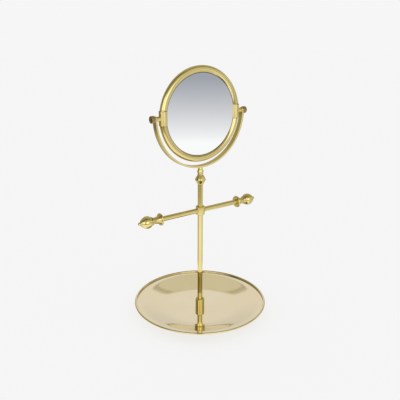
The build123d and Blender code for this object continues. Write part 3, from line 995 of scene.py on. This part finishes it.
@dataclass
class Yoke:
    """Half hoop of flat bar with rounded ends, drilled for the pivots and for the swivel screw."""

    width: float = 14.5
    soft: float = 0.7
    pivot_hole: float = 3.06
    screw_hole: float = 2.56
    sink_hole: float = 5.06
    rings: int = 5
    cross_steps: int = 11
    round_steps: int = 17
    end_steps: int = 6
    run_steps: int = 61

    def __post_init__(self) -> None:
        """Work out the hoop's middle radius, its quarter length, and the bar's half width and thickness."""
        self.middle: float = YOKE_RADIUS - YOKE_THICKNESS / 2
        self.quarter: float = self.middle * math.pi / 2
        self.pad: float = self.width / 2
        self.half: float = YOKE_THICKNESS / 2

    def bent(self, flat: np.ndarray, layer: float | np.ndarray) -> np.ndarray:
        """Bend points of the flat bar onto the hoop.

        A point at length s from the middle, width y and height n above the middle plane turns by the
        angle s / R, with R the middle radius, up to a quarter turn, and runs straight up beyond that.

        Args:
            flat: Array of (s, y) in millimetres, of any leading shape.
            layer: Height n, for all points or of a shape that fits theirs.

        Returns:
            Array of (x, y, z) in millimetres.
        """
        s, y = flat[..., 0], flat[..., 1]
        angle = np.clip(s / self.middle, -math.pi / 2, math.pi / 2)
        beyond = np.maximum(np.abs(s) - self.quarter, 0)
        radius = self.middle + layer
        return np.stack([radius * np.sin(angle), y, PIVOT_Z - radius * np.cos(angle) + beyond], axis=-1)

    def skin(self, flat: np.ndarray, layer: float | np.ndarray, wrap: bool = True) -> Surface:
        """Surface over a grid of the flat bar's points, whose UV map is the flat bar in metres.

        Args:
            flat: Grid of (s, y) points in millimetres.
            layer: Height above the middle plane.
            wrap: Whether the last column joins the first.

        Returns:
            The bent surface.
        """
        surface = Surface.grid(self.bent(flat, layer), wrap)
        corner = flat.reshape(-1, 2)[surface.faces]
        surface.uv = np.stack([corner[..., 1] * MM + 0.5, corner[..., 0] * MM], axis=-1)
        return surface

    def stations(self) -> np.ndarray:
        """Lengths along the bar at which its cross sections stand, denser beside the holes.

        Returns:
            The lengths in order, 0 being the middle.
        """
        ends = np.linspace(self.quarter - self.pad, self.quarter, self.end_steps)
        middle = np.linspace(-self.pad, self.pad, self.cross_steps)
        run = np.linspace(self.pad, self.quarter - self.pad, self.run_steps)[1:-1]
        return np.r_[-ends[::-1], -run[::-1], middle, run, ends]

    def rim(self, inset: float) -> np.ndarray:
        """Outline of the flat bar, inset by a distance: two long sides and two half rounds.

        Args:
            inset: Distance inwards from the bar's edge.

        Returns:
            The outline's (s, y) points.
        """
        half, along = self.pad - inset, self.stations()
        right = arc((self.quarter, 0), half, -90, 90, self.round_steps)[1:-1]
        return np.vstack([paired(along, -half), right, paired(along[::-1], half), -right])

    def face(self, layer: float, pivot_hole: float, screw_hole: float) -> list[Surface]:
        """One broad face with its three holes.

        Plain runs are grids across the bar. Round a hole, straight spokes join the points of the
        hole to the points of the border at the same angles.

        Args:
            layer: Height of the face above the middle plane.
            pivot_hole: Radius of the two holes at the ends.
            screw_hole: Radius of the hole in the middle.

        Returns:
            The surfaces of the face.
        """
        half, pad, near = self.pad - self.soft, self.pad, 1e-6
        cap_start = self.quarter - pad
        across, stations = np.linspace(-half, half, self.cross_steps), self.stations()
        rounding = arc((self.quarter, 0), half, -90, 90, self.round_steps)
        surfaces = []
        for low, high in ((-cap_start, -pad), (pad, cap_start)):
            run = stations[(stations > low - near) & (stations < high + near)]
            flat = np.stack(np.meshgrid(run, across, indexing="ij"), axis=-1)
            surfaces.append(self.skin(flat, layer, wrap=False))
        middle = stations[np.abs(stations) < pad + near]
        square = np.vstack([paired(middle, -half), paired(pad, across)[1:], paired(middle[::-1], half)[1:],
                            paired(-pad, across[::-1])[1:-1]])
        ends = stations[stations > cap_start - near]
        cap = np.vstack([paired(cap_start, across[::-1]), paired(ends, -half)[1:-1], rounding,
                         paired(ends[::-1], half)[1:-1]])
        for border, centre, hole in ((square, 0, screw_hole), (cap, self.quarter, pivot_hole),
                                     (cap * (-1, 1), -self.quarter, pivot_hole)):
            surfaces.append(self.spokes(border, centre, hole, layer))
        return surfaces

    def spokes(self, border: np.ndarray, centre: float, hole: float, layer: float) -> Surface:
        """Ring between a border and a round hole: hole and border points share their angles.

        Args:
            border: Points of the border.
            centre: Length along the bar at the hole's middle.
            hole: The hole's radius.
            layer: Height above the middle plane.

        Returns:
            The ring's surface.
        """
        away = border - (centre, 0)
        rim = (centre, 0) + away / np.linalg.norm(away, axis=1, keepdims=True) * hole
        return self.skin(rim + (border - rim) * np.linspace(0, 1, self.rings)[:, None, None], layer)

    def hole_wall(self, border: Surface, other: Surface) -> Surface:
        """Wall of a hole between the inmost rings of two faces."""
        count = len(border.points) // self.rings
        return Surface.grid(np.stack([border.points[:count], other.points[:count]]) / MM, wrap=True)

    def build(self, finishes: Finishes) -> None:
        """Make the yoke: edge surface with rounded corners, two faces and the walls of the holes.

        Args:
            finishes: The stand's materials.
        """
        lean = np.radians(np.linspace(0, 90, 5))
        late, early = self.soft * (1 - np.sin(lean)), self.soft * (1 - np.cos(lean))
        rims = np.stack([self.rim(inset) for inset in np.r_[late, early]])
        edge = self.skin(rims, np.r_[self.half - early, late - self.half][:, None])
        outer = self.face(self.half, self.pivot_hole, self.screw_hole)
        inner = self.face(-self.half, self.pivot_hole, self.sink_hole)
        walls = [self.hole_wall(a, b) for a, b in zip(outer[2:], inner[2:])]
        make_piece("yoke_bar", [edge, *outer, *inner, *walls], finishes.rolled, "yoke", "yoke")


@dataclass
class Mirror:
    """Ring, two glasses, sleeves, pivot spacers and clamp knobs."""

    pivot: Place = (0.0, 0.0, PIVOT_Z)
    tube_radius: float = 8.54
    ring_radius: float = 109.434
    slot_low: float = -3.5
    slot_high: float = 5.1
    glass_radius: float = 104.6
    glass: float = 3.0
    glass_gap: float = 2.4
    setback: float = 3.4
    dish: float = 2.2
    sleeve_radius: float = 10.4
    sleeve_length: float = 35.0
    sleeve_x: float = 108.334
    sleeve_bore: float = 2.5
    sleeve_edge: float = 0.5
    web: float = 11.0
    gap: float = 0.3
    stud_radius: float = 3.0
    stud_fit: float = 0.06
    spacer_radius: float = 5.7
    spacer_sink: float = 0.5
    knob_radius: float = 8.9
    knob_length: float = 9.2
    knob_bore: float = 4.0
    knob_edge: float = 0.5
    knob_round: float = 1.2
    knob_hollow: float = 0.25
    flutes: int = 28
    flute_depth: float = 0.56

    def __post_init__(self) -> None:
        """Work out where a knob starts and ends, outwards from the mirror's centre."""
        self.knob_start: float = YOKE_RADIUS + self.gap
        self.knob_end: float = YOKE_RADIUS + self.knob_length

    def ring_half(self, side: int) -> Surface:
        """One half of the ring: its C-shaped section carried round the mirror's centre.

        A point of the section at distance p outwards from the tube's centre line and q backwards lies
        at ((R + p) cos a, q, (R + p) sin a) about the pivot, with R the ring's radius. The angle a runs
        from just above one sleeve's web to just above the other's.

        Args:
            side: 1 for the upper half and -1 for the lower one.

        Returns:
            The wall's surface, whose ends stay inside the sleeves.
        """
        arcs = []
        for radius in (self.tube_radius, self.tube_radius - TUBE_WALL):
            low, high = (math.degrees(math.asin(q / radius)) for q in (self.slot_low, self.slot_high))
            arcs.append(arc((0, 0), radius, -180 - low, 180 - high, 61))
        outer, inner = arcs[0], arcs[1][::-1]
        lips = [softened(np.vstack([a[-2:], b[:2]]), 0.3)[1:-1] for a, b in ((outer, inner), (inner, outer))]
        section = np.vstack([outer[1:-1], lips[0], inner[1:-1], lips[1]])
        start = math.asin(self.web / 2 / self.ring_radius)
        angle = np.linspace(start, math.pi - start, 181)[:, None] * side
        radius = self.ring_radius + section[:, 0]
        wall = np.stack(np.broadcast_arrays(radius * np.cos(angle), section[:, 1],
                                            radius * np.sin(angle) + PIVOT_Z), axis=-1)
        length = run_length(np.vstack([section, section[:1]]))
        # Painted shade darkens the ring beside both sleeve ends, where it goes into them.
        beside = np.abs(np.abs(wall[:, 0, 2] - PIVOT_Z) - self.sleeve_length / 2)
        return Surface.grid(wall, wrap=True, u=length / length[-1], v=angle[:, 0] * self.ring_radius * MM,
                            tarnish_shade_depth=joint_shade_depth(beside))

    def knob_profile(self) -> Profile:
        """Outline of a knob from the bottom of its bore to the middle of its end face.

        Returns:
            The knob's outline.
        """
        start, end, wide, edge = self.knob_start, self.knob_end, self.knob_radius, self.knob_round
        bore, bottom = self.stud_radius + self.stud_fit, start + self.knob_bore
        sunk = end - self.knob_hollow
        inside = [(0.0, bottom), (bore, bottom), (bore, start), (wide - self.knob_edge, start),
                  (wide, start + self.knob_edge)]
        rounding = arc((wide - edge, end - edge), edge, 0, 90, 9)
        return np.vstack([inside, rounding, [(wide * 0.55, end), (wide * 0.5, sunk), (0.0, sunk)]])

    def fluted(self, angle: np.ndarray, profile: Profile) -> np.ndarray:
        """Change of the knob's radius: flutes as the positive part of a cosine of the angle.

        They lie on the side alone, come up over 0.5 mm from the inner end and go out over 0.8 mm
        before the outer one.

        Args:
            angle: Angles round the knob.
            profile: Rows of its outline.

        Returns:
            What is added to the radius.
        """
        height, radius = profile[:, 1:], profile[:, :1]
        cut = np.clip(np.cos(angle * self.flutes), 0, 1) ** 0.6
        on_side = np.clip((radius - self.knob_radius + 0.9) / 0.6, 0, 1)
        come_up = np.clip((height - self.knob_start) / 0.5, 0, 1)
        go_out = np.clip((self.knob_end - height) / 0.8, 0, 1)
        return -self.flute_depth * cut * on_side * (come_up * go_out)

    def build_ring(self, finishes: Finishes) -> None:
        """Make the two halves of the ring and both sleeves.

        Args:
            finishes: The stand's materials.
        """
        for name, side in (("upper", 1), ("lower", -1)):
            make_piece(f"{name}_ring", [self.ring_half(side)], finishes.drawn, f"{name}_frame_half", "mirror")
        wide, bore, edge = self.sleeve_radius, self.tube_radius, self.sleeve_edge
        half = self.sleeve_length / 2
        bottom = half - self.sleeve_bore
        upper = [(wide, half - edge), (wide - edge, half), (bore, half), (bore, bottom), (0, bottom)]
        sleeve = closed_turning([(radius, -height) for radius, height in upper[::-1]] + upper, 0.25)
        for name, _, sign in SIDES:
            # Painted shade darkens each sleeve at both ends, where the ring goes in.
            turn_piece(f"{name}_sleeve_turned", sleeve, finishes.drawn, f"{name}_sleeve", "mirror",
                       origin=(sign * self.sleeve_x, 0, PIVOT_Z), seams=(-half, half))

    def build_glass(self, finishes: Finishes) -> None:
        """Make the plain and the magnifying glass, the latter with both faces on shallow spheres.

        Args:
            finishes: The stand's materials.
        """
        front, wide = -self.setback, self.glass_radius
        back = front + self.glass
        flat = closed_turning([(0, front), (wide, front), (wide, back), (0, back)], 0.3, 6.0)
        rear = front + 2 * self.glass + self.glass_gap
        ball = (wide**2 + self.dish**2) / (2 * self.dish)
        reach = math.degrees(math.asin(wide / ball))
        centre = rear - self.dish + ball
        bowl = softened(np.vstack([arc((0, centre - self.glass), ball, -90, -90 + reach, 40),
                                   arc((0, centre), ball, -90 + reach, -90, 40)]), 0.3)
        for name, outline, finish, node in (
                ("plain_glass", flat, finishes.mirror, "front_glass"),
                ("magnifying_glass", bowl, finishes.magnifier, "rear_magnifying_glass")):
            turn_piece(name, outline, finish, node, "mirror", "mirror_glass", axis=Axis.BACK,
                       origin=self.pivot, sides=192)

    def build_pivots(self, finishes: Finishes) -> None:
        """Make the spacers and the fluted knobs.

        Args:
            finishes: The stand's materials.
        """
        wide, bore = self.spacer_radius, self.stud_radius
        low = self.sleeve_x + math.sqrt(self.sleeve_radius**2 - wide**2) - self.spacer_sink
        high = YOKE_RADIUS - YOKE_THICKNESS - self.gap
        spacer = closed_turning([(bore, low), (wide, low), (wide, high), (bore, high), (bore, low)], 0.3)
        knob = spaced(self.knob_profile(), 0.7)
        for side, axis, _ in SIDES:
            turn_piece(f"{side}_spacer_turned", spacer, finishes.turned, f"{side}_pivot_spacer", "mirror",
                       axis=axis, origin=self.pivot, sides=96)
            turn_piece(f"{side}_knob_fluted", knob, finishes.knurled, f"{side}_knob", f"{side}_knob",
                       "knurled_brass", axis=axis, origin=self.pivot, sides=12 * self.flutes,
                       swell=self.fluted)


def dress_hidden_nodes(nodes: Mapping[str, bpy.types.Object], finishes: Finishes) -> None:
    """Give the CAD nodes that stay their materials.

    Args:
        nodes: CAD objects by node name.
        finishes: The stand's materials.
    """
    chosen = {
        finishes.steel: ("base_washer", "base_nut", "lower_tie_rod", "upper_tie_rod", "left_crossbar_rod",
                         "right_crossbar_rod"),
        finishes.plastic: ("swivel_washer", "glass_spacer"),
        finishes.turned: ("swivel_screw", "left_pivot_stud", "right_pivot_stud"),
    }
    for finish, names in chosen.items():
        for name in names:
            mesh = nodes[name].data
            mesh.materials.clear()
            mesh.materials.append(finish)


# ---------- Studio ----------


@dataclass
class Studio:
    """Camera, pale floor and soft surroundings. Lengths are metres and angles degrees."""

    heading: float = 35.953
    place: Place = (-0.7745, -1.0666, 0.7434)
    down: float = 18.122
    roll: float = 0.22
    lens: float = 48.34
    paper: float = 0.9216
    room: float = 0.45
    cool: Colour = (0.36, 0.38, 0.42)
    card_reach: float = 6.0
    card_wide: float = 5.4
    card_tall: float = 13.8
    card_foot: float = -0.6
    floor_half: float = 12.0
    paper_share: float = 0.8

    def __post_init__(self) -> None:
        """Work out the directions away from the camera and to its right, along the floor."""
        turn = math.radians(self.heading)
        self.away: Place = (math.sin(turn), math.cos(turn), 0.0)
        self.aside: Place = (math.cos(turn), -math.sin(turn), 0.0)

    def camera(self) -> None:
        """Place the camera at the photograph's view."""
        data = bpy.data.cameras.new("view_camera")
        data.lens = self.lens
        data.sensor_width = 36.0
        data.clip_end = 60.0
        camera = bpy.data.objects.new("view_camera", data)
        camera.matrix_world = (
            Matrix.Translation(self.place)
            @ Matrix.Rotation(-math.radians(self.heading), 4, "Z")
            @ Matrix.Rotation(math.radians(90 - self.down), 4, "X")
            @ Matrix.Rotation(math.radians(self.roll), 4, "Z"))
        bpy.context.scene.collection.objects.link(camera)
        bpy.context.scene.camera = camera

    def directions(self, sheet: NodeSheet, ray: Wire) -> tuple[Wire, Wire, Wire]:
        """Parts of a direction: away from the camera, to its right, and up."""
        return sheet.dot(ray, self.away), sheet.dot(ray, self.aside), sheet.dot(ray, (0.0, 0.0, 1.0))

    def surroundings(self) -> None:
        """World: plain paper for the camera and matt surfaces, and a soft-box studio for reflections.

        The room is mid grey, and warmer the darker it is. Behind the camera is a wide bright window with
        two brighter soft boxes and a thin dark slit between them. A dark arch stands over the object
        from side to side, the left side is dim, the far right is bright, and the room is grey-blue where
        the glass mirrors it.
        """
        world = bpy.data.worlds.new("studio")
        bpy.context.scene.world = world
        world.use_nodes = True
        sheet = NodeSheet(world.node_tree)
        ray = sheet.add("ShaderNodeTexCoord", {}, {}, out="Generated")
        ahead, right, up = self.directions(sheet, ray)
        arch = (ahead * 0.936 - right * 0.311 + up * 0.165).between(-0.12, 0.12, 0.08) * up.ramp(0.15, 0.4)
        level = (1.0001 - up * up).root()
        ahead, right = ahead / level, right / level
        window = ahead.ramp(-0.76, -0.42, 1.0, 0.0) * up.ramp(0.48, 0.64, 1.0, 0.0)
        spots = (right.between(-0.45, -0.12, 0.08) * 0.40 + right.between(0.12, 0.52, 0.08) * 0.60)
        spots = spots * up.between(0.02, 0.40, 0.10) * ahead.ramp(-0.6, -0.3, 1.0, 0.0)
        slit = ahead.ramp(-0.999, -0.985, 1.0, 0.0) * (window * 0.42 + 0.08)
        left_side = right.ramp(-0.95, -0.5, 1.0, 0.0) * (0.12 - arch * 0.10)
        right_glow = right.ramp(0.78, 0.92) * up.ramp(0.15, 0.70, 0.36, 0.10)
        shade = self.room + window * 0.57 + spots - arch * 0.36 - slit - left_side + right_glow
        horizon = up.between(-0.3, 0.06, 0.14) * right.ramp(0.80, 0.90) * ahead.ramp(0.1, 0.4, 1.0, 0.0)
        warm = sheet.mix(shade.ramp(self.room, 0.95), (1.0, 0.94, 0.68), WHITE)
        colour = sheet.mix(horizon * 0.8, sheet.lit(shade, warm), self.cool)
        soft = sheet.add("ShaderNodeBackground", {}, {"Color": colour, "Strength": 1.0})
        plain = sheet.add("ShaderNodeBackground", {}, {"Color": (1, 1, 1, 1), "Strength": self.paper})
        shader = sheet.mix_shaders(sheet.ray("Is Glossy Ray"), plain, soft)
        sheet.add("ShaderNodeOutputWorld", {}, {"Surface": shader})

    def tray_card(self) -> None:
        """Tall card of light far behind the stand, for the tray alone.

        Its light is bluish. Heights and widths on it are measured in its distance: it brightens from
        its foot up to 0.6, has a darker seam just under 1, darker still at both sides, and is dimmer and
        less blue above 1.1.
        """
        reach, wide, tall = self.card_reach, self.card_wide, self.card_tall
        data = bpy.data.lights.new("tray_card", "AREA")
        data.shape = "RECTANGLE"
        data.size, data.size_y = wide, tall
        data.energy = math.pi * wide * tall
        data.use_nodes = True
        sheet = NodeSheet(data.node_tree)
        spot = sheet.add("ShaderNodeNewGeometry", {}, {}, out="Position")
        rise = sheet.dot(spot, (0.0, 0.0, 1.0 / reach))
        side = sheet.dot(spot, tuple(part / reach for part in self.aside))
        edge = side.ramp(-0.24, -0.14, 1.0, 0.0) + side.ramp(0.14, 0.24)
        wall = rise.ramp(0.0, 0.6, 0.32, 0.47)
        seam = rise.between(0.93, 1.0, 0.09) * (edge * 0.16 + 0.12)
        high = rise.ramp(0.88, 1.12)
        tint = sheet.mix(high * 0.6, (0.69, 0.70, 1.0), (0.68, 0.67, 0.70))
        glow = sheet.lit((wall - high * 0.16 - seam) * 1.44, tint)
        shader = sheet.add("ShaderNodeEmission", {}, {"Color": glow, "Strength": 1.0})
        sheet.add("ShaderNodeOutputLight", {}, {"Surface": shader})
        card = bpy.data.objects.new("tray_card", data)
        card.matrix_world = (
            Matrix.Translation((reach * self.away[0], reach * self.away[1], tall / 2 + self.card_foot))
            @ Matrix.Rotation(-math.radians(self.heading), 4, "Z") @ Matrix.Rotation(-math.pi / 2, 4, "X"))
        bpy.context.scene.collection.objects.link(card)
        lit = bpy.data.collections.new("lit_by_tray_card")
        lit.objects.link(bpy.data.objects["tray_dish"])
        card.light_linking.receiver_collection = lit

    def floor_pattern(self, sheet: NodeSheet) -> Wire:
        """Colour of the floor as brass and glass see it.

        It is white round the stand and darker behind it, on its left and beyond 0.75 m towards the
        camera, with the window's slit going on along it. One sector on the camera's right stays white,
        and the far right is grey-blue.

        Args:
            sheet: The floor material's sheet.

        Returns:
            The colour.
        """
        ahead, right, _ = self.directions(sheet, sheet.object_place())
        reach = (ahead * ahead + right * right).root()
        toward, right_side = ahead / reach, right / reach
        sector = toward.between(-0.43, -0.17, 0.08) * right_side.ramp(0.0, 0.5) * reach.ramp(1.2, 2.0)
        slit = toward.ramp(-0.999, -0.985, 1.0, 0.0) * reach.ramp(0.85, 1.3) * 0.42
        dim = reach.ramp(0.75, 0.95) * (0.48 - reach.ramp(1.4, 3.6) * 0.46)
        sides = toward.ramp(-0.62, -0.12) * reach.ramp(0.22, 0.34)
        sides = sides * (0.50 - right_side.ramp(0.75, 0.9) * 0.2)
        left_side = right_side.ramp(-0.5, -0.85) * reach.ramp(0.7, 1.6) * 0.28
        camera_side = toward.ramp(-0.62, -0.30, 1.0, 0.0)
        dark = (dim * camera_side + sides + left_side + slit) * (1.0 - sector)
        far = (1.48 - reach ** -1.0 * 3.22) * right_side.ramp(0.75, 0.88) * toward.ramp(0.1, 0.4, 1.0, 0.0)
        grey = sheet.mix(dark, WHITE, (0.0, 0.0, 0.0))
        warm = sheet.vectors("MULTIPLY", grey, sheet.mix(dark * 1.7, WHITE, (1.0, 0.94, 0.66)))
        return sheet.mix(far, warm, self.cool)

    def floor(self) -> None:
        """Wide pale floor that keeps the object's shadow, plain paper to the camera."""
        size = self.floor_half
        mesh = bpy.data.meshes.new("floor")
        mesh.from_pydata([(-size, -size, 0), (size, -size, 0), (size, size, 0), (-size, size, 0)], [],
                         [(0, 1, 2, 3)])
        floor = bpy.data.objects.new("floor", mesh)
        bpy.context.scene.collection.objects.link(floor)
        material = bpy.data.materials.new("floor_paper")
        material.use_nodes = True
        sheet = NodeSheet(material.node_tree)
        mirrored = sheet.add("ShaderNodeEmission", {}, {"Color": self.floor_pattern(sheet), "Strength": 1.0})
        seen = sheet.add("ShaderNodeEmission", {}, {"Color": (1, 1, 1, 1), "Strength": self.paper})
        matt = sheet.add("ShaderNodeBsdfDiffuse", {}, {"Color": (0.98, 0.98, 0.98, 1.0)})
        catch = sheet.mix_shaders(self.paper_share, matt, seen)
        shader = sheet.mix_shaders(sheet.ray("Is Camera Ray"), matt, catch)
        shader = sheet.mix_shaders(sheet.ray("Is Glossy Ray"), shader, mirrored)
        sheet.add("ShaderNodeOutputMaterial", {}, {"Surface": shader})
        mesh.materials.append(material)

    def build(self) -> None:
        """Set up camera, world, floor and view transform."""
        self.camera()
        self.surroundings()
        self.tray_card()
        self.floor()
        bpy.context.scene.view_settings.view_transform = "Standard"


def main() -> None:
    """Load the frame, build every sub-assembly and the studio."""
    logging.basicConfig(level=logging.INFO, format="%(name)s: %(message)s")
    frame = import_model()
    finishes = Finishes()
    Tray().build(finishes)
    Post().build(finishes)
    Crossbar().build(finishes)
    Baluster().build(finishes)
    Yoke().build(finishes)
    mirror = Mirror()
    mirror.build_ring(finishes)
    mirror.build_glass(finishes)
    mirror.build_pivots(finishes)
    dress_hidden_nodes(frame["nodes"], finishes)
    Studio().build()


if __name__ == "__main__":
    main()
